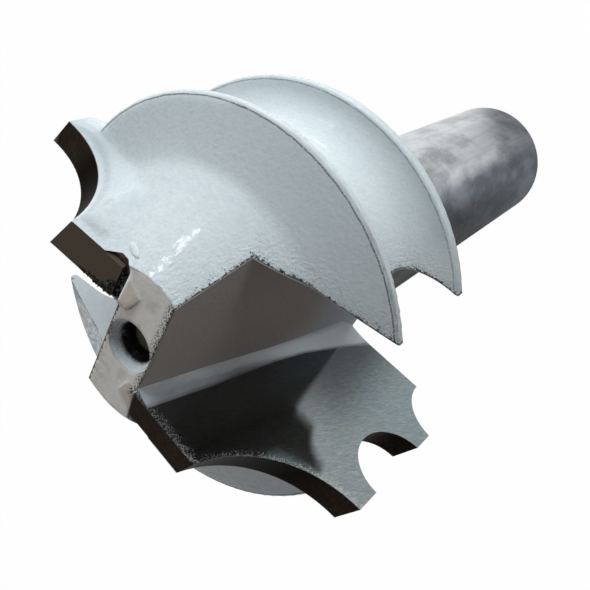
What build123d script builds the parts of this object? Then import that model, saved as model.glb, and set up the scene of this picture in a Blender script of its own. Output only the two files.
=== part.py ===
from build123d import *
from math import cos, radians, sin, tan
import os

os.makedirs("parts", exist_ok=True)

# A two-flute moulding router bit: a turned and milled steel body with two finned wings,
# and a carbide cutter brazed against each wing. It stands on the end of its shank, tip up.
# Lengths are in millimetres. A depth is measured down the axis from the tip face of the hub.

# Shank
shank_radius = 6.35
shank_length = 38.7
shank_end_chamfer = 0.6

# Turned head: hub, front cone, two fins with a round groove between them, rear cove
head_length = 19.5
hub_radius = 5.52
hub_edge_radius = 0.25
cone_foot_radius = 10.4
cone_foot_depth = 5.8
cone_foot_fillet = 1.6
fin_radius = 14.55
fin_edge_radius = 0.24
front_fin_depth = 7.4
front_fin_thickness = 0.62
groove_depth = 2.85
groove_front_depth = 8.8
groove_front_fillet = 1.6
groove_rear_fillet = 2.55
rear_fin_depth = 15.7
rear_fin_thickness = 0.9
rear_cove_radius = 3.3
rear_radius = 12.2

# Centre hole in the tip, left from turning the body
centre_rim_radius = 1.8
centre_drill_radius = 1.12
centre_hole_depth = 3.2
centre_angle = 60

# Gullets: two slots that leave a tapered web between them
rake_offset = 2.4
web_half = 1.88
web_angle = 13.3
gullet_reach = 8.45
gullet_back_tilt = 1.8
gullet_runout = 2.0

# Carbide cutters
tip_thickness = 2.2
tip_gaps = {"a": 0.6, "b": 0.1}
edge_inner_radius = 1.0
edge_inner_rise = 0.25
edge_outer_radius = 7.74
edge_outer_rise = 0.74
edge_reach = 16.4
big_cove_radius = 8.84
land_start_depth = 6.2
bead_start_depth = 8.28
bead_end_depth = 14.28
land_end_depth = 16.14
small_cove_radius = 3.46
small_cove_end_radius = 13.3
side_relief_angle = 21
axial_relief = 0.03
tip_relief_angle = 8.4

# Heels: the steel behind the cutters falls away to the cone and the fins
heel_side_angle = 31
heel_drop_angle = 54.5
heel_top_angle = 63
heel_back_angle = 11.3
heel_reach = 4.5

# Brazing metal
braze_film = 0.1
braze_sink = 0.3
pocket_corner_width = 2.2
pocket_corner_relief = 0.45
pocket_corner_radius = 0.6
bead_top_slope = 0.24
bead_sections = (
    (0, 1.35, 0.3),
    (5, 1.25, 0.55),
    (10.5, 0.9, 0.62),
    (13.5, 0.97, 0.85),
    (17.6, 1.58, 1.4),
    (head_length, 2.05, 0.25),
)

# Worked out from the sizes above
hub_face = shank_length + head_length
web_slope = tan(radians(web_angle))
seat_depth = tip_thickness + braze_film
seat_offset = rake_offset + seat_depth
groove_radius = fin_radius - groove_depth
beyond = edge_reach + 5
above = edge_outer_rise + 2


def level(depth):
    """Height of a point that lies this far down from the tip face."""
    return hub_face - depth


def web_at(depth):
    """Half the thickness of the web at a depth."""
    return web_half + web_slope * depth


# The form of a tooth: the cutter's outline, swept back and inwards by its relief
outline_inner = (edge_inner_radius, level(-edge_inner_rise))
outline_corner = (edge_outer_radius, level(-edge_outer_rise))
edge_slope = (outline_corner[1] - outline_inner[1]) / (outline_corner[0] - outline_inner[0])
side_relief = tan(radians(side_relief_angle))
relief_path = Vector(-side_relief, -1, -axial_relief) * seat_depth
with BuildPart() as tooth_form:
    with BuildSketch(Plane.XZ.offset(rake_offset)):
        with BuildLine():
            Line(outline_inner, outline_corner)
            RadiusArc(outline_corner, (edge_reach, level(land_start_depth)), -big_cove_radius)
            Line((edge_reach, level(land_start_depth)), (edge_reach, level(bead_start_depth)))
            bead_radius = (bead_end_depth - bead_start_depth) / 2
            ThreePointArc(
                (edge_reach, level(bead_start_depth)),
                (edge_reach - bead_radius, level(bead_start_depth + bead_radius)),
                (edge_reach, level(bead_end_depth)),
            )
            Line((edge_reach, level(bead_end_depth)), (edge_reach, level(land_end_depth)))
            RadiusArc(
                (edge_reach, level(land_end_depth)),
                (small_cove_end_radius, level(head_length)),
                -small_cove_radius,
            )
            Polyline(
                (small_cove_end_radius, level(head_length)),
                (edge_inner_radius, level(head_length)),
                outline_inner,
            )
        make_face()
    extrude(amount=relief_path.length, dir=relief_path)
    tip_face = Plane(
        origin=(edge_outer_radius, -rake_offset, outline_corner[1]),
        x_dir=(1, 0, edge_slope),
        z_dir=(-edge_slope, -tan(radians(tip_relief_angle)), 1),
    )
    split(bisect_by=tip_face, keep=Keep.BOTTOM)
    split(bisect_by=Plane.XY.offset(level(head_length)), keep=Keep.TOP)

# The heel: the outline of the seat, swept down and inwards, and its back ground flat
heel_path = Vector(-tan(radians(heel_side_angle)), -1, -tan(radians(heel_drop_angle))) * heel_reach
seat_reach = edge_reach - side_relief * seat_depth
with BuildPart() as heel:
    seat_face = tooth_form.faces().sort_by(Axis.Y)[0]
    extrude(seat_face, amount=heel_path.length, dir=heel_path)
    heel_top = Plane(
        origin=(edge_outer_radius, -seat_offset, outline_corner[1] - tan(radians(tip_relief_angle)) * seat_depth),
        x_dir=(1, 0, edge_slope),
        z_dir=(-edge_slope, -tan(radians(heel_top_angle)), 1),
    )
    split(bisect_by=heel_top, keep=Keep.BOTTOM)
    heel_back = Plane(
        origin=(seat_reach, -seat_offset, hub_face),
        x_dir=(0, 0, 1),
        z_dir=(sin(radians(heel_back_angle)), -cos(radians(heel_back_angle)), 0),
    )
    split(bisect_by=heel_back, keep=Keep.BOTTOM)
    split(bisect_by=Plane.XY.offset(level(head_length)), keep=Keep.TOP)
with BuildPart() as tooth:
    add(tooth_form.part)
    add(heel.part)

# The slot that the mill leaves: gullet in front of the cutter, pocket for it behind
slot_path = Vector(web_slope, 0, -1) * (head_length + above + gullet_runout)
corner_back = -(seat_offset + pocket_corner_relief)
with BuildPart() as slot:
    with BuildSketch(Plane.XY.offset(level(-above))) as slot_section:
        with BuildLine():
            foot = web_at(-above)
            back = gullet_reach - (beyond - web_half) * tan(radians(gullet_back_tilt))
            Polyline(
                (foot, corner_back),
                (foot, gullet_reach),
                (beyond, back),
                (beyond, -seat_offset),
                (foot + pocket_corner_width, -seat_offset),
                (foot + pocket_corner_radius, corner_back),
                close=True,
            )
        make_face()
        fillet(slot_section.vertices().sort_by_distance((foot, corner_back))[0], pocket_corner_radius)
    extrude(amount=slot_path.length, dir=slot_path)

# Cutter body
with BuildPart() as cutter_body:
    with BuildSketch(Plane.XZ) as turned:
        with BuildLine():
            cone_foot = (cone_foot_radius, level(cone_foot_depth))
            front_fin_rear = front_fin_depth + front_fin_thickness
            rear_fin_rear = rear_fin_depth + rear_fin_thickness
            groove_front = (groove_radius, level(groove_front_depth))
            groove_rear = (groove_radius, level(rear_fin_depth))
            Polyline(
                (0, 0),
                (0, hub_face),
                (hub_radius, hub_face),
                cone_foot,
                (fin_radius, level(front_fin_depth)),
                (fin_radius, level(front_fin_rear)),
                groove_front,
                groove_rear,
                (fin_radius, level(rear_fin_depth)),
                (fin_radius, level(rear_fin_rear)),
            )
            RadiusArc((fin_radius, level(rear_fin_rear)), (rear_radius, level(head_length)), -rear_cove_radius)
            Polyline(
                (rear_radius, level(head_length)),
                (shank_radius, level(head_length)),
                (shank_radius, shank_end_chamfer),
                (shank_radius - shank_end_chamfer, 0),
                (0, 0),
            )
        make_face()
        fillet(turned.vertices().sort_by_distance((hub_radius, hub_face))[0], hub_edge_radius)
        fillet(turned.vertices().sort_by_distance(cone_foot)[0], cone_foot_fillet)
        fillet(turned.vertices().sort_by_distance(groove_front)[0], groove_front_fillet)
        fillet(turned.vertices().sort_by_distance(groove_rear)[0], groove_rear_fillet)
        fillet(turned.vertices().group_by(Axis.X)[-1], fin_edge_radius)
    revolve(axis=Axis.Z)
    with PolarLocations(0, 2):
        add(tooth.part)
    with PolarLocations(0, 2):
        add(slot.part, mode=Mode.SUBTRACT)
    with Locations((0, 0, hub_face)):
        CounterSinkHole(
            centre_drill_radius,
            centre_rim_radius,
            depth=centre_hole_depth,
            counter_sink_angle=centre_angle,
        )
cutter_body.part.label = "cutter_body"
export_step(cutter_body.part, "parts/cutter_body.step")

for flute, (name, tip_gap) in enumerate(tip_gaps.items()):
    # Cutter: the tooth's form, cut off parallel to the web and ground flat at the back
    with BuildPart() as cutter:
        with BuildSketch(Plane.XY.offset(level(-above))) as blank:
            with Locations((web_at(-above) + tip_gap, -rake_offset)):
                Rectangle(beyond, tip_thickness, align=(Align.MIN, Align.MAX))
        extrude(amount=slot_path.length, dir=slot_path)
        add(tooth_form.part, mode=Mode.INTERSECT)

    # Brazing metal: a film behind the cutter, the filled pocket corner and gap, and the bead
    # that runs along the inner corner, from the cutter's face up the web
    with BuildPart() as seam:
        with BuildSketch(Plane.XY.offset(level(-above))) as filled:
            foot = web_at(-above)
            with Locations((foot, -rake_offset)):
                Rectangle(tip_gap, tip_thickness, align=(Align.MIN, Align.MAX))
            with Locations((foot, -rake_offset - tip_thickness)):
                Rectangle(beyond, braze_film, align=(Align.MIN, Align.MAX))
            with BuildLine():
                Polyline(
                    (foot, -seat_offset),
                    (foot, corner_back),
                    (foot + pocket_corner_radius, corner_back),
                    (foot + pocket_corner_width, -seat_offset),
                    close=True,
                )
            make_face()
            fillet(filled.vertices().sort_by_distance((foot, corner_back))[0], pocket_corner_radius)
        extrude(amount=slot_path.length, dir=slot_path)
        add(tooth.part, mode=Mode.INTERSECT)
        split(bisect_by=Plane.XY.offset(level(braze_sink)), keep=Keep.BOTTOM)
        for depth, width, height in bead_sections:
            lean = bead_top_slope if depth == 0 else 0
            corner_of_section = (web_at(depth), -rake_offset, level(depth))
            with BuildSketch(Plane(corner_of_section, x_dir=(1, 0, lean), z_dir=(-lean, 0, 1))):
                with BuildLine():
                    Polyline((0, height), (0, 0), (width, 0))
                    TangentArc((width, 0), (0, height), tangent=(-1, 0))
                make_face()
        loft(ruled=True)

    for piece, label in ((cutter, f"carbide_tip_{name}"), (seam, f"braze_seam_{name}")):
        solid = piece.part.rotate(Axis.Z, 180 - 180 * flute)
        solid.label = label
        export_step(solid, f"parts/{label}.step")
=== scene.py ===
import math

import bmesh
import bpy
from mathutils import Matrix, Vector


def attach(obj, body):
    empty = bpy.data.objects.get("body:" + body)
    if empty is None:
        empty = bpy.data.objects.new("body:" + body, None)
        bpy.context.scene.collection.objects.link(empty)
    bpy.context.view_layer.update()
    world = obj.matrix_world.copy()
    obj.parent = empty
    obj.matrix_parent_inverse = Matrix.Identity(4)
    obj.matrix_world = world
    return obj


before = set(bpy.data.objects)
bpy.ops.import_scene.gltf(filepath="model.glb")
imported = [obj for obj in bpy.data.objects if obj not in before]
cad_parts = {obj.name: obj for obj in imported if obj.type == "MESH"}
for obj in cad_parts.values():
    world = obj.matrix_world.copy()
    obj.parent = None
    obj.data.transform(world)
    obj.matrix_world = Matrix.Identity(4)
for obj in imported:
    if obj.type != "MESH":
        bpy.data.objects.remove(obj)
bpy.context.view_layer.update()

# Cutter body: one piece of steel, turned with its cone, two fins and grooves, with two gullets
# milled through the head. White stoving enamel is sprayed over the head, hub face and gullets,
# and the shank was masked off and stays bare ground steel. The sizes here are in millimetres.
cutter_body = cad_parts["cutter_body"]
hub_face = 58.2
hub_radius = 5.5
paint_line = 38.4
web_half = 1.88
web_slope = math.tan(math.radians(13.3))
gullet_floor = -2.5
gullet_back = 8.455
gullet_back_slope = 0.0304
land_radius = 14.33
front_land_depth = 7.4
rear_land_depth = 15.7
centre_rim = 1.8
crust_radius = 1.45
drill_radius = 1.16
groove_middle = 11.9
groove_half = 3.7
seat_offset = 4.7


def shade(red, green, blue):
    """A colour as it looks on a screen, from 0 to 255 each, as a shader takes it."""
    levels = [level / 255 for level in (red, green, blue)]
    linear = [v / 12.92 if v <= 0.04045 else ((v + 0.055) / 1.055) ** 2.4 for v in levels]
    return (*linear, 1)


class Wire:
    """One output in a material's nodes. Arithmetic on it adds the Math nodes for it."""

    def __init__(self, tree, socket=None):
        self.tree = tree
        self.socket = socket

    def node(self, kind, settings=None, values=None, output=0):
        """Adds a node, sets it up, fills its inputs with numbers or wires, and wraps one output."""
        made = self.tree.nodes.new(kind)
        for name, setting in (settings or {}).items():
            if name == "stops":
                ramp = made.color_ramp.elements
                while len(ramp) < len(setting):
                    ramp.new(1)
                for stop, (position, colour) in zip(ramp, setting):
                    stop.position = position
                    stop.color = colour
            else:
                setattr(made, name, setting)
        for name, value in (values or {}).items():
            if isinstance(value, Wire):
                self.tree.links.new(value.socket, made.inputs[name])
            else:
                made.inputs[name].default_value = value
        return Wire(self.tree, made.outputs[output])

    def math(self, operation, *terms):
        return self.node("ShaderNodeMath", {"operation": operation}, dict(enumerate((self, *terms))))

    def __add__(self, other):
        return self.math("ADD", other)

    def __sub__(self, other):
        return self.math("SUBTRACT", other)

    def __rsub__(self, other):
        return self.node("ShaderNodeMath", {"operation": "SUBTRACT"}, {0: other, 1: self})

    def __mul__(self, other):
        return self.math("MULTIPLY", other)

    __radd__ = __add__
    __rmul__ = __mul__

    def both(self, other):
        """The lower of two values."""
        return self.math("MINIMUM", other)

    def either(self, other):
        """The higher of two values."""
        return self.math("MAXIMUM", other)

    def rise(self, start, end):
        """0 before start and 1 past end, smooth between them; it falls where end is the lower."""
        values = {"Value": self, "From Min": start, "From Max": end}
        return self.node("ShaderNodeMapRange", {"interpolation_type": "SMOOTHSTEP"}, values)

    def near(self, middle, reach, fade):
        """1 within reach of a middle value, 0 past the fade beyond that."""
        return (self - middle).math("ABSOLUTE").rise(reach + fade, reach)

    def blend(self, first, second):
        """The first colour where this value is 0, and the second where it is 1."""
        return self.node("ShaderNodeMix", {"data_type": "RGBA"}, {0: self, 6: first, 7: second}, 2)

    def grain(self, scale, detail=2.0, roughness=0.5, stretch=(1, 1, 1), turn=(0, 0, 0), shift=(0, 0, 0)):
        """Noise from 0 to 1 at a place in millimetres, so many lumps to the millimetre."""
        turned = self.node("ShaderNodeMapping", None, {"Vector": self, "Rotation": turn})
        values = {"Vector": turned, "Scale": stretch, "Location": shift}
        place = self.node("ShaderNodeMapping", None, values)
        values = {"Vector": place, "Scale": scale, "Detail": detail, "Roughness": roughness}
        return self.node("ShaderNodeTexNoise", None, values)


def new_finish(name):
    """A material with empty nodes, its place in millimetres, and that place's X, Y and Z."""
    material = bpy.data.materials.new(name)
    material.use_nodes = True
    material.node_tree.nodes.clear()
    start = Wire(material.node_tree)
    metres = start.node("ShaderNodeTexCoord", None, None, "Object")
    place = start.node("ShaderNodeVectorMath", {"operation": "SCALE"}, {0: metres, "Scale": 1000})
    split = [start.node("ShaderNodeSeparateXYZ", None, {0: place}, axis) for axis in "XYZ"]
    return material, place, split


def give_surface(place, height, depth, facing=None, **values):
    """Ends a material's nodes: a shader with these inputs, over a relief so many millimetres deep.

    The relief stands on the mesh's own normals, or on those that facing gives.
    """
    bump = {"Height": height, "Strength": 1.0, "Distance": depth / 1000}
    if facing:
        bump["Normal"] = facing
    inputs = {name.replace("_", " "): value for name, value in values.items()}
    inputs["Normal"] = place.node("ShaderNodeBump", None, bump)
    surface = place.node("ShaderNodeBsdfPrincipled", None, inputs)
    output = place.tree.nodes.new("ShaderNodeOutputMaterial")
    place.tree.links.new(surface.socket, output.inputs["Surface"])


painted_steel, place, (x, y, z) = new_finish("painted_steel")
radius = (x * x + y * y).math("SQRT")
depth = hub_face - z
side = x.math("SIGN")
out = x * side
across = y * side
behind = 0 - across
clear_of_web = out - web_half - depth * web_slope
clear_of_back = gullet_back - across - clear_of_web * gullet_back_slope
in_gullet = clear_of_web.both(clear_of_back).both(across - gullet_floor)
gullet = in_gullet.rise(-0.04, -0.02)
head = z.rise(paint_line - 0.05, paint_line + 0.05)
fine = place.grain(9.0, 3.0)
coarse = place.grain(1.3, 3.0, shift=(3, 1, 7))
peel = place.grain(4.4, 2.0, 0.5, stretch=(1, 1, 0.6), shift=(9, 4, 2))

# Enamel: a cool white, warmer where it is thin on the hub's face. The paler groove is painted light;
# the darker rim of the cone, the brown-grey web, lifted by painted light towards its end, and the dim
# back wall of the right cutter's gullet are painted shade rather than differences in the paint. The
# paler groove, the darker rim of the cone, the brown-grey web and the dim back wall of the right
# cutter's gullet were matched to the photo, so they hold some of its light and shade and aren't all
# differences in the paint.
enamel_white = shade(222, 229, 232)
enamel_shadow = shade(217, 225, 229)
gullet_white = shade(220, 227, 231)
web_painted_shade = shade(186, 176, 169)
web_end_painted_light = shade(215, 222, 228)
hub_warm = shade(231, 229, 225)
hub_stain_and_shade = shade(204, 196, 186)
groove_painted_light = shade(226, 233, 236)
cone_rim_painted_shade = shade(201, 210, 215)
back_wall_painted_shade = shade(168, 162, 156)
enamel = coarse.rise(0.3, 0.7).blend(enamel_shadow, enamel_white)
# Painted light: the groove paler than the rest of the enamel
enamel = depth.near(groove_middle, groove_half, 0.2).blend(enamel, groove_painted_light)
# Painted shade: the cone darker towards its rim
on_cone = depth.rise(front_land_depth + 0.1, front_land_depth - 0.2)
enamel = (radius.rise(8, 13) * on_cone).blend(enamel, cone_rim_painted_shade)
on_hub = depth.rise(0.06, 0.03) * radius.rise(hub_radius, hub_radius - 0.1)
stains = place.grain(0.9, 4.0, 0.6, shift=(1, 7, 0)).rise(0.45, 0.75)
# Painted shade: the tooth's top, where it stands a little over the hub, darkened in the stain colour
tooth_top_painted_shade = depth.rise(0.0, -0.06) * 0.9
enamel = on_hub.blend(enamel, (stains * 0.8).either(tooth_top_painted_shade).blend(hub_warm, hub_stain_and_shade))
enamel = gullet.blend(enamel, gullet_white)
# Painted shade on the web's wall, with painted light towards its end
web_wall = gullet * clear_of_web.rise(0.12, 0.03)
web_end_light_mask = depth.rise(11, 18) * across.rise(4.5, 2.0)
enamel = web_wall.blend(enamel, web_end_light_mask.blend(web_painted_shade, web_end_painted_light))
# Painted shade on the back wall of the right cutter's gullet
back_wall_shade_mask = gullet * clear_of_back.rise(0.12, 0.03) * x.rise(-0.5, 0.5)
enamel = back_wall_shade_mask.blend(enamel, back_wall_painted_shade)

# Marks: pinholes and a dark chipped line along the gullets' edges, a rough line where the enamel
# broke at the front of each fin's land, burnt enamel by the brazing, and a few specks of dust.
# The value named edge says how far outside a gullet a place is.
scorch = shade(26, 22, 19)
rim_grey = shade(96, 100, 102)
clean_white = shade(246, 247, 246)
edge = 0 - in_gullet
near_edge = edge.rise(0.85, 0.0) * (1 - gullet)
pitted = on_hub * x.rise(-0.1, 0.3) * near_edge.rise(0.0, 0.6)
pits = place.grain(11.0, 2.0).rise(0.55, 0.58) * pitted
pits = pits.either((fine - 0.7 + near_edge * 0.08).rise(0.0, 0.02) * near_edge.rise(0.05, 0.4))
chips = place.grain(4.5, 3.0, 0.6, shift=(2, 9, 3)).rise(0.45, 0.62)
rim_line = edge.rise(0.1 + chips * 0.16, 0.05 + chips * 0.08) * (1 - gullet) * fine.rise(0.34, 0.44)
pocket_side = out.near(web_half - 0.06, 0.03, 0.04 + fine * 0.06)
beside_pocket = on_hub * pocket_side * behind.near(3.6, 1.3, 0.2)
broken = radius.near(land_radius + (coarse - 0.5) * 0.12, 0.02, 0.05) * fine.rise(0.3, 0.5)
front_line = broken * depth.near(front_land_depth, 0.1, 0.1)
rear_line = broken * depth.near(rear_land_depth, 0.1, 0.1) * 0.6
dust = place.grain(2.4, 1.0, shift=(5, 5, 5)).rise(0.85, 0.87)
burnt = on_hub * behind.near(5.0, 0.15, 0.5) * out.near(2.4, 0.2, 1.0) * fine.rise(0.5, 0.62)
enamel = (front_line.either(rear_line) * 0.9).blend(enamel, rim_grey)
marks = pits.either(rim_line * 0.9).either(dust * 0.5).either(burnt * 0.6)
enamel = marks.blend(enamel, scorch)
enamel = beside_pocket.blend(enamel, clean_white)

# Centre hole: painted at the rim, with a black crust inside and a bare drilled bottom
in_hole = radius.rise(centre_rim + 0.02, centre_rim - 0.02) * depth.rise(0.03, 0.06)
crust = radius.rise(crust_radius + fine * 0.35 - 0.1, crust_radius - 0.12) * in_hole
drilled = radius.rise(drill_radius, drill_radius - 0.03) * depth.rise(1.6, 2.2)
enamel = (crust * (1 - drilled)).blend(enamel, shade(14, 12, 11))
enamel = (drilled * in_hole).blend(enamel, shade(190, 182, 170))

# The enamel's skin runs smoothly over the corners that the mill left behind each cutter, and a
# little over those of the hub. Near the hub and the gullets it dried wrinkled, with patchy gloss.
behind_seat = behind.rise(seat_offset + 0.05, seat_offset + 0.45) * out.rise(4.2, 5.2)
behind_seat = behind_seat * depth.rise(8.6, 7.9)
sharp = place.node("ShaderNodeNewGeometry", None, None, "Normal")
smoothed = place.node("ShaderNodeBevel", {"samples": 16}, {"Radius": 0.0012})
eased = place.node("ShaderNodeBevel", {"samples": 16}, {"Radius": 0.0005})
facing = place.node("ShaderNodeMix", {"data_type": "VECTOR"}, {0: on_hub, 4: sharp, 5: eased}, 1)
facing = place.node("ShaderNodeMix", {"data_type": "VECTOR"}, {0: behind_seat, 4: facing, 5: smoothed}, 1)
wrinkles = place.grain(5.0, 2.0, 0.6, stretch=(1, 1, 0.4), shift=(6, 3, 1))
wrinkled = edge.rise(2.5, 0.3).either(radius.rise(9.0, 6.5)) * (1 - gullet) * (1 - on_hub)
gloss = place.grain(2.4, 4.0, 0.75, stretch=(1, 1, 0.5), shift=(3, 8, 1)).rise(0.51, 0.55)
gloss = (1 - marks) * (1 - on_hub * 0.7) * (1 - web_wall) * (0.05 + gloss * 0.85)

# Ground steel of the shank: fine rings from the grinding wheel, soft mottled stains, and darker painted
# reflection streaks along its length
rings = place.grain(1.0, 3.0, 0.6, stretch=(0.5, 0.5, 34))
mottle = place.grain(0.3, 3.0, 0.6, stretch=(1, 1, 0.6), shift=(2, 8, 1))
painted_reflection_streaks = place.grain(1.0, 4.0, 0.65, stretch=(1.6, 1.6, 0.12), shift=(6, 2, 0))
steel = mottle.rise(0.38, 0.62).blend(shade(160, 166, 170), shade(222, 226, 228))
steel = (painted_reflection_streaks.rise(0.4, 0.7) * 0.3).blend(steel, shade(118, 122, 126))
steel = (rings.rise(0.3, 0.7) * 0.35).blend(steel, shade(196, 200, 203))
bare = 1 - head
skin = peel * 0.6 + wrinkles * wrinkled * 1.4 + fine * 0.12 - marks * 0.5
head_roughness = 0.45 + on_hub * 0.15 + web_wall * 0.2 + marks * 0.2
give_surface(
    place,
    head * skin + bare * rings * 0.22,
    0.05,
    facing,
    Base_Color=bare.blend(enamel, steel),
    Metallic=bare,
    Roughness=head * head_roughness + bare * (0.2 + mottle * 0.16),
    Coat_Weight=head * gloss,
    Coat_Roughness=0.05,
    Specular_IOR_Level=0.15,
)
cutter_body.data.materials.clear()
cutter_body.data.materials.append(painted_steel)

# Cutters: two plates of sintered carbide, brazed to the body and ground to the moulding's outline.
# The rake faces are lapped bright, and the relief faces behind the edges stay dark from the wheel.
rake_plane = 2.4
wear_height = 56.5
cutter_reach = 16.4
face_height = 57.0
cove_height = 55.0
cove_middle_out = 16.37
cove_middle_height = 60.84
cove_radius = 8.84
lapping_angle = math.radians(25)
carbide, place, (x, y, z) = new_finish("carbide")
side = x.math("SIGN")
out = x * side
back = 0 - y * side - rake_plane
rake = back.rise(0.03, 0.01)
flat = place.node("ShaderNodeCombineXYZ", None, {0: out, 1: y * side, 2: z})
lapping = flat.grain(1.0, 4.0, 0.65, stretch=(20, 1, 1.3), turn=(0, lapping_angle, 0))
scratch = flat.grain(1.0, 2.0, 0.5, stretch=(46, 1, 3.5), turn=(0, lapping_angle, 0), shift=(4, 0, 9))
grinding = flat.grain(1.0, 3.0, 0.6, stretch=(9, 1.6, 9))
film = flat.grain(1.0, 4.0, 0.75, stretch=(5, 1, 0.8), turn=(0, lapping_angle, 0), shift=(1, 6, 4))
tints = [(0.3, shade(131, 133, 143)), (0.42, shade(128, 138, 144)), (0.5, shade(130, 142, 140))]
tints += [(0.58, shade(139, 141, 136)), (0.68, shade(136, 135, 140))]
bright = film.node("ShaderNodeValToRGB", {"stops": tints}, {"Fac": film * 0.6 + scratch * 0.4})
streaks = flat.grain(1.0, 2.0, 0.6, stretch=(60, 1, 2.2), turn=(0, lapping_angle, 0), shift=(8, 0, 3))
bright = (streaks.rise(0.52, 0.66) * 0.55).blend(bright, shade(178, 187, 190))
bright = (streaks.rise(0.48, 0.34) * 0.5).blend(bright, shade(95, 101, 106))
# Painted shade: the rake face darker towards its inner part
bright = (out.rise(11, 7) * 0.6).blend(bright, shade(88, 92, 96))

# The dark faces: painted shade makes them blackest in the large cove, and painted light makes them
# paler on tip a, at the end and on the outer land
tip_a_painted_light = 0.5 - side * 0.5
dull = grinding.rise(0.3, 0.75).blend(shade(40, 32, 26), shade(60, 50, 42))
dull = (z.rise(face_height - 0.4, face_height + 0.4) * tip_a_painted_light).blend(dull, shade(86, 76, 66))
dull = (out.rise(cutter_reach - 0.5, cutter_reach - 0.2) * tip_a_painted_light).blend(dull, shade(98, 92, 86))
dull = (z.near(cove_height, 1.9, 1.0) * 0.9).blend(dull, shade(16, 12, 9))

# Wear: short crossed strokes along the end's edge and the cove's edge, on the rake face only
strokes = flat.grain(1.0, 3.0, 0.6, stretch=(16, 1, 4), turn=(0, 0.9, 0), shift=(7, 0, 2))
crossed = flat.grain(1.0, 3.0, 0.6, stretch=(16, 1, 4), turn=(0, -0.5, 0), shift=(3, 0, 8))
tip_line = z - wear_height - out * 0.07
cove_out = out - cove_middle_out
cove_up = z - cove_middle_height
from_cove = (cove_out * cove_out + cove_up * cove_up).math("SQRT") - cove_radius
worn = tip_line.rise(0.5, 1.7).either(from_cove.rise(1.1, 0.1) * 0.8)
wear = (strokes.either(crossed) + worn * 0.16).rise(0.66, 0.76) * rake * worn
give_surface(
    place,
    lapping * 0.7 + scratch * 0.3 + grinding * 0.2,
    0.0025,
    Base_Color=rake.blend(dull, wear.blend(bright, shade(196, 200, 204))),
    Metallic=rake,
    Roughness=rake * (0.02 + lapping * 0.025 + wear * 0.4) + (1 - rake) * (0.5 + grinding * 0.14),
    Specular_IOR_Level=0.03,
)
for name in ("carbide_tip_a", "carbide_tip_b"):
    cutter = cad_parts[name]
    cutter.data.materials.clear()
    cutter.data.materials.append(carbide)

# Brazing metal: silver solder that filled the pocket behind each cutter and ran out in a bead
# along the inner corner. The bead was sprayed white with the body, and what shows in the seams
# at the tip is scorched flux, black with red-brown copper stains.
braze, place, (x, y, z) = new_finish("braze")
side = x.math("SIGN")
buried = (0 - y * side - rake_plane).rise(-0.03, 0.02)
lumps = place.grain(5.0, 4.0)
patches = place.grain(1.4, 3.0, shift=(2, 2, 2))
ripples = place.grain(1.0, 3.0, 0.5, stretch=(2.2, 2.2, 0.5))
flux = patches.rise(0.45, 0.6).blend(shade(24, 20, 18), shade(74, 46, 34))
# Painted shade: the sprayed bead greyer towards the tip and white towards its far end
sprayed_and_shaded = ripples.rise(0.3, 0.7).blend(shade(152, 157, 163), shade(170, 176, 182))
sprayed_and_shaded = z.rise(52, 44).blend(sprayed_and_shaded, shade(222, 230, 235))
give_surface(
    place,
    buried * lumps * 2.5 + (1 - buried) * ripples * 0.6,
    0.05,
    Base_Color=buried.blend(sprayed_and_shaded, flux),
    Roughness=buried * (0.45 + lumps * 0.4) + (1 - buried) * 0.3,
    Coat_Weight=0.5 - buried * 0.5,
    Coat_Roughness=0.1,
)
for name in ("braze_seam_a", "braze_seam_b"):
    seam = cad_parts[name]
    seam.data.materials.clear()
    seam.data.materials.append(braze)

# Paint run: a small ridge where the enamel gathered behind the left cutter's pocket, lying on the
# cone and narrower at one end. It is the same enamel as the head's.
run_place = Vector((-2.9, 5.5, 57.33))
run_reach = Vector((0.75, 0.24, 0.17))
run_along = Vector((0.908, 0.055, 0.415))
run_up = Vector((-0.337, 0.69, 0.643))
run_turn = Matrix((run_along, run_up.cross(run_along), run_up)).transposed()
run_taper = 300
run_form = bmesh.new()
bmesh.ops.create_icosphere(run_form, subdivisions=3, radius=0.001)
for vertex in run_form.verts:
    spot = vertex.co * run_reach * (1 + run_taper * vertex.co.x)
    vertex.co = run_turn @ spot + run_place / 1000
run_mesh = bpy.data.meshes.new("paint_run")
run_form.to_mesh(run_mesh)
run_form.free()
run_mesh.shade_smooth()
run_mesh.materials.append(painted_steel)
paint_run = bpy.data.objects.new("paint_run", run_mesh)
bpy.context.scene.collection.objects.link(paint_run)
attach(paint_run, "root")

# Flux crumbs: charred beads of brazing flux that stuck in the gap beside the left cutter and
# along its edge. Every crumb is a small rough lump, scattered over three strips with nodes.
crumb_black, place, (x, y, z) = new_finish("crumb_black")
# Painted glints: blue-green flecks on the black crumbs
glint = place.grain(3.0, 2.0).rise(0.52, 0.62)
give_surface(
    place,
    place.grain(14.0, 2.0),
    0.03,
    Base_Color=glint.blend(shade(15, 14, 14), shade(42, 62, 64)),
    Roughness=0.35,
    Coat_Weight=0.6,
    Coat_Roughness=0.15,
)
crumb_radius = 0.00012
crumb_gap = 0.0001
gap_strip = [(-2.48, 2.44, 58.25), (-1.96, 2.44, 58.2), (-1.94, 4.2, 58.15), (-2.4, 4.2, 58.15)]
corner_strip = [(-2.48, 2.44, 58.58), (-3.4, 2.44, 58.64), (-2.9, 3.2, 58.5), (-2.48, 3.7, 58.4)]
edge_strip = [(-3.3, 2.44, 58.64), (-5.5, 2.44, 58.78), (-5.0, 2.56, 58.74), (-3.3, 2.8, 58.6)]
corners = [Vector(corner) / 1000 for corner in gap_strip + corner_strip + edge_strip]
ground = bpy.data.meshes.new("flux_crumbs")
ground.from_pydata(corners, [], [range(first, first + 4) for first in (0, 4, 8)])
flux_crumbs = bpy.data.objects.new("flux_crumbs", ground)
bpy.context.scene.collection.objects.link(flux_crumbs)

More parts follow.
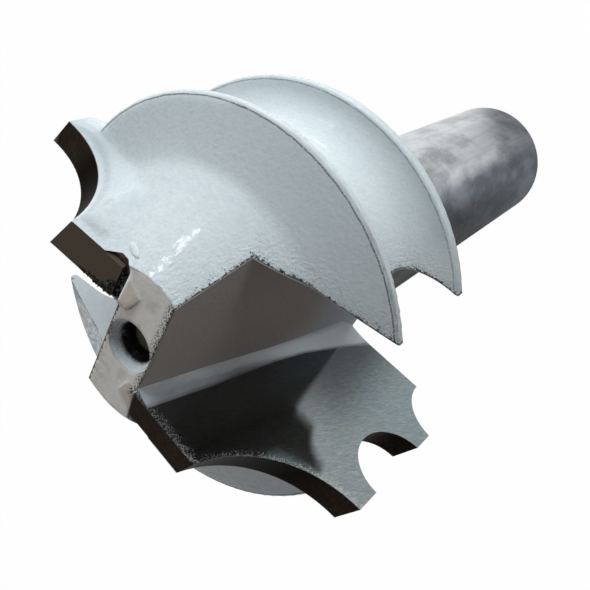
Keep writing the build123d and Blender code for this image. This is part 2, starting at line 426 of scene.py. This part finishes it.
scatter = bpy.data.node_groups.new("scatter_crumbs", "GeometryNodeTree")
sockets = {"Ground": "Geometry", "Gap": "Float", "Radius": "Float", "Finish": "Material"}
for name, kind in sockets.items():
    scatter.interface.new_socket(name, in_out="INPUT", socket_type="NodeSocket" + kind)
scatter.interface.new_socket("Crumbs", in_out="OUTPUT", socket_type="NodeSocketGeometry")
start = Wire(scatter)
given = {name: start.node("NodeGroupInput", None, None, name) for name in sockets}
values = {"Mesh": given["Ground"], "Distance Min": given["Gap"], "Density Max": 9e7, "Seed": 4}
spots = start.node("GeometryNodeDistributePointsOnFaces", {"distribute_method": "POISSON"}, values)
lump = start.node("GeometryNodeMeshIcoSphere", None, {"Radius": given["Radius"], "Subdivisions": 2})
turns = {"Min": (0, 0, 0), "Max": (6.3, 6.3, 6.3), "Seed": 5}
turns = start.node("FunctionNodeRandomValue", {"data_type": "FLOAT_VECTOR"}, turns)
growth = {"Min": (0.4, 0.4, 0.4), "Max": (1.2, 1.0, 0.9), "Seed": 6}
growth = start.node("FunctionNodeRandomValue", {"data_type": "FLOAT_VECTOR"}, growth)
values = {"Points": spots, "Instance": lump, "Rotation": turns, "Scale": growth}
lumps = start.node("GeometryNodeInstanceOnPoints", None, values)
real = start.node("GeometryNodeRealizeInstances", None, {"Geometry": lumps})
finished = start.node("GeometryNodeSetMaterial", None, {"Geometry": real, "Material": given["Finish"]})
output = scatter.nodes.new("NodeGroupOutput")
scatter.links.new(finished.socket, output.inputs["Crumbs"])
modifier = flux_crumbs.modifiers.new("scatter", "NODES")
modifier.node_group = scatter
settings = {"Gap": crumb_gap, "Radius": crumb_radius, "Finish": crumb_black}
for item in scatter.interface.items_tree:
    if item.name in settings:
        modifier[item.identifier] = settings[item.name]
evaluated = flux_crumbs.evaluated_get(bpy.context.evaluated_depsgraph_get())
flux_crumbs.data = bpy.data.meshes.new_from_object(evaluated)
flux_crumbs.modifiers.clear()
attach(flux_crumbs, "root")

# Table and studio: a plain pale table top, two soft lamps low behind the tip and one over it, two
# small ones that only show in the gloss, and a grey card. What the metal mirrors of the table is
# dimmed with painted shadow by the shank, at its foot and before the rake face.
table_mesh = bpy.data.meshes.new("table_top")
table_half = 3.0
corners = [(-table_half, -table_half, 0), (table_half, -table_half, 0)]
corners += [(table_half, table_half, 0), (-table_half, table_half, 0)]
table_mesh.from_pydata(corners, [], [(0, 1, 2, 3)])
table_top = bpy.data.objects.new("table_top", table_mesh)
bpy.context.scene.collection.objects.link(table_top)
table_white, place, (x, y, z) = new_finish("table_white")
seen = place.node("ShaderNodeLightPath", None, None, "Is Camera Ray")
mirrored = place.node("ShaderNodeLightPath", None, None, "Is Glossy Ray")
refracted = place.node("ShaderNodeLightPath", None, None, "Is Transmission Ray")

# Painted shadow in what the metal mirrors of the table, in millimetres on it: beside the shank, at
# its foot, and before the rake face
in_shade = x * 0.82 - y * 0.57
from_shank = (x * x + y * y).math("SQRT")
shade_by_shank = in_shade.rise(-2.0, 2.0) * y.rise(27, 22) * from_shank.rise(70, 60)
shade_by_shank_level = in_shade.rise(3, 15).blend((0.30, 0.33, 0.37, 1), (0.09, 0.09, 0.09, 1))
shade_before_rake = y.rise(50, 36) * y.rise(23, 27) * x.near(8, 20, 10)
shade_before_rake_level = x.rise(1, 10).blend((0.34, 0.35, 0.35, 1), (0.92, 0.97, 1.0, 1))
shade_at_foot = from_shank.rise(15, 9) * x.rise(-7, -1)
shade_by_shank_level = (shade_at_foot * 0.5).blend(shade_by_shank_level, (0.1, 0.1, 0.1, 1))
glow_level = (mirrored * shade_at_foot * 0.9).blend((1, 1, 1, 1), (0.2, 0.21, 0.23, 1))
glow_level = (mirrored * shade_by_shank).blend(glow_level, shade_by_shank_level)
glow_level = (mirrored * shade_before_rake).blend(glow_level, shade_before_rake_level)
paper = place.node("ShaderNodeBsdfDiffuse", None, {"Color": (0.8, 0.8, 0.8, 1)})
glow = place.node("ShaderNodeEmission", None, {"Color": glow_level, "Strength": 1.0})
share = seen.either(mirrored).either(refracted) * 0.985
mixed = place.node("ShaderNodeMixShader", None, {0: share, 1: paper, 2: glow})
output = table_white.node_tree.nodes.new("ShaderNodeOutputMaterial")
table_white.node_tree.links.new(mixed.socket, output.inputs["Surface"])
table_mesh.materials.append(table_white)


def hang_lamp(name, place, target, size, power, colour, lights="all"):
    """A square lamp that faces a target and lights all, only dull or only mirroring surfaces."""
    lamp = bpy.data.lights.new(name, "AREA")
    lamp.size = size
    lamp.energy = power
    lamp.color = colour
    holder = bpy.data.objects.new(name, lamp)
    holder.location = place
    holder.rotation_euler = (Vector(target) - Vector(place)).to_track_quat("-Z", "Y").to_euler()
    holder.visible_camera = False
    holder.visible_glossy = lights != "dull"
    holder.visible_diffuse = lights != "mirrors"
    bpy.context.scene.collection.objects.link(holder)


card_grey = bpy.data.materials.new("card_grey")
card_grey.use_nodes = True
card_shader = card_grey.node_tree.nodes["Principled BSDF"]
card_shader.inputs["Base Color"].default_value = (0.16, 0.155, 0.15, 1)
card_shader.inputs["Roughness"].default_value = 1.0
card_mesh = bpy.data.meshes.new("side_card")
corners = [(-0.30, 0.0, 0.001), (-0.20, -0.28, 0.001), (-0.20, -0.28, 0.161), (-0.30, 0.0, 0.161)]
card_mesh.from_pydata(corners, [], [(0, 1, 2, 3)])
card_mesh.materials.append(card_grey)
side_card = bpy.data.objects.new("side_card", card_mesh)
side_card.visible_camera = False
side_card.visible_shadow = False
bpy.context.scene.collection.objects.link(side_card)

head_middle = (0, 0, 0.048)
hang_lamp("key_lamp", (-0.23, 0.29, 0.10), head_middle, 0.30, 1.42, (0.92, 0.98, 1.0), "dull")
hang_lamp("far_lamp", (0.08, 0.34, 0.02), head_middle, 0.16, 0.41, (0.92, 0.98, 1.0), "dull")
hang_lamp("fill_lamp", (-0.14, -0.16, 0.37), head_middle, 0.19, 0.37, (1.0, 0.97, 0.94))
hang_lamp("low_glint", (-0.03, 0.059, 0.004), head_middle, 0.014, 0.012, (1.0, 1.0, 1.0), "mirrors")
hang_lamp("high_glint", (-0.16, 0.216, 0.198), head_middle, 0.045, 0.06, (1.0, 1.0, 1.0), "mirrors")

world = bpy.data.worlds.new("studio")
bpy.context.scene.world = world
world.use_nodes = True
world.node_tree.nodes.clear()
start = Wire(world.node_tree)
seen = start.node("ShaderNodeLightPath", None, None, "Is Camera Ray")
level = seen * 0.915 + 0.085
sky = start.node("ShaderNodeBackground", None, {"Color": (1, 1, 1, 1), "Strength": level})
output = world.node_tree.nodes.new("ShaderNodeOutputWorld")
world.node_tree.links.new(sky.socket, output.inputs["Surface"])

# Camera: close above the tip, looking down on it with its top rolled over to the shank's side
camera_data = bpy.data.cameras.new("camera")
camera_data.sensor_width = 36
camera_data.lens = 45.894
camera_data.shift_x = 0.0587
camera_data.shift_y = -0.0575
camera_data.clip_start = 0.001
camera = bpy.data.objects.new("camera", camera_data)
camera_right = Vector((0.70403, 0.38196, -0.59870))
camera_up = Vector((-0.63720, 0.71197, -0.29508))
camera_back = camera_right.cross(camera_up)
turn = Matrix((camera_right, camera_up, camera_back)).transposed().to_4x4()
camera.matrix_world = Matrix.Translation((0.016827, 0.034026, 0.086198)) @ turn
bpy.context.scene.collection.objects.link(camera)
bpy.context.scene.camera = camera
bpy.context.scene.view_settings.view_transform = "Standard"
